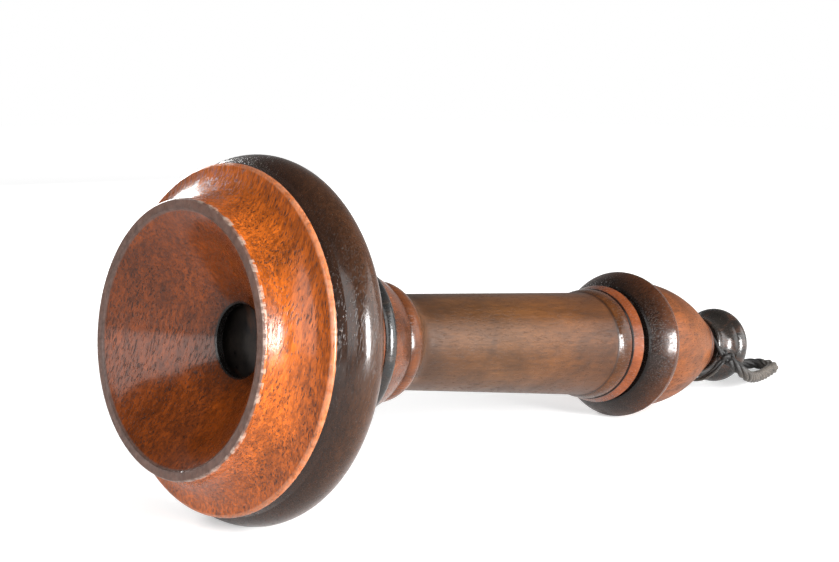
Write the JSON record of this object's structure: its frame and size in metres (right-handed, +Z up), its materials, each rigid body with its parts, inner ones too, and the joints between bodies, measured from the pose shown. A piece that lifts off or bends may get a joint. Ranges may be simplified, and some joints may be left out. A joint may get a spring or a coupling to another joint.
{
  "type": "magneto hand telephone",
  "caption": "Turned wooden hand telephone with a funnel mouthpiece, diaphragm, bar magnet in the handle, adjusting knob and a hanging cord loop.",
  "frame": {"origin": "on the surface it lies on, under the middle of the body without its cord", "axes": "+X along the body from the mouth towards the knob, level; +Z up; the turning axis is tipped 8.0 degrees tail down"},
  "size_m": [0.2549, 0.0832, 0.0825],
  "materials": {
    "mahogany": "french polished, worn at the rim",
    "dark_wood": "french polished, dark stained",
    "handle_wood": "french polished, worn",
    "ebonised_wood": "ebonised and polished",
    "diaphragm_iron": "japanned ferrotype plate",
    "paper": "paper gasket",
    "leather": "thin leather washer",
    "magnet_steel": "blued hard steel",
    "soft_iron": "turned soft iron",
    "steel": "turned steel",
    "brass": "turned brass",
    "boxwood": "turned boxwood",
    "wound_wire": "silk covered wire",
    "lead_wire": "cotton covered copper wire",
    "hard_rubber": "hard rubber",
    "cord": "twisted cotton cord, dark and worn"
  },
  "bodies": {
    "handset": {"head_body": "dark_wood", "collar_ring": "ebonised_wood", "handle": "handle_wood", "rear_gasket": "paper", "diaphragm": "diaphragm_iron", "front_bush": "brass", "rear_bush": "brass", "guide_pin": "steel", "lead_wire_left": "lead_wire", "lead_wire_right": "lead_wire", "terminal_block": "hard_rubber", "terminal_screws": "brass"},
    "cap_seat": {"front_gasket": "paper"},
    "mouthpiece": {"mouthpiece_cap": "mahogany"},
    "magnet": {"bar_magnet": "magnet_steel", "magnet_nut": "brass", "pole_piece": "soft_iron", "pole_stud": "steel", "bobbin": "boxwood", "coil_winding": "wound_wire"},
    "tail_seat": {"tail_washer": "leather"},
    "tail": {"tail_cap": "handle_wood", "thrust_washer": "brass"},
    "knob": {"adjusting_knob": "ebonised_wood", "adjusting_screw": "steel", "thrust_collar": "brass", "knob_pin": "steel", "neck_cord": "cord", "near_knot": "cord", "far_knot": "cord", "cord_loop": "cord"}
  },
  "joints": [
    {"name": "cap_travel", "type": "slide", "parent": "handset", "child": "cap_seat", "axis": [-0.9902, 0, 0.1397], "range_m": [0, 0.009]},
    {"name": "cap_turn", "type": "hinge", "parent": "cap_seat", "child": "mouthpiece", "pos_m": [-0.10705, 0, 0.04398], "axis": [-0.9902, 0, 0.1397], "range_deg": [0, 1080]},
    {"name": "magnet_slide", "type": "slide", "parent": "handset", "child": "magnet", "axis": [-0.9902, 0, 0.1397], "range_m": [-0.002, 0.0008]},
    {"name": "tail_travel", "type": "slide", "parent": "handset", "child": "tail_seat", "axis": [0.9902, 0, -0.1397], "range_m": [0, 0.012]},
    {"name": "tail_turn", "type": "hinge", "parent": "tail_seat", "child": "tail", "pos_m": [0.05139, 0, 0.02162], "axis": [0.9902, 0, -0.1397], "range_deg": [0, 1440]},
    {"name": "knob_turn", "type": "hinge", "parent": "tail", "child": "knob", "pos_m": [0.10089, 0, 0.01464], "axis": [0.9902, 0, -0.1397], "range_deg": [-720, 288]}
  ],
  "couplings": [
    {"joint": "cap_travel", "follows": "cap_turn", "m_per_rad": 0.00047746},
    {"joint": "tail_travel", "follows": "tail_turn", "m_per_rad": 0.00047746},
    {"joint": "knob_turn", "follows": "magnet_slide", "rad_per_m": 6283.2}
  ]
}
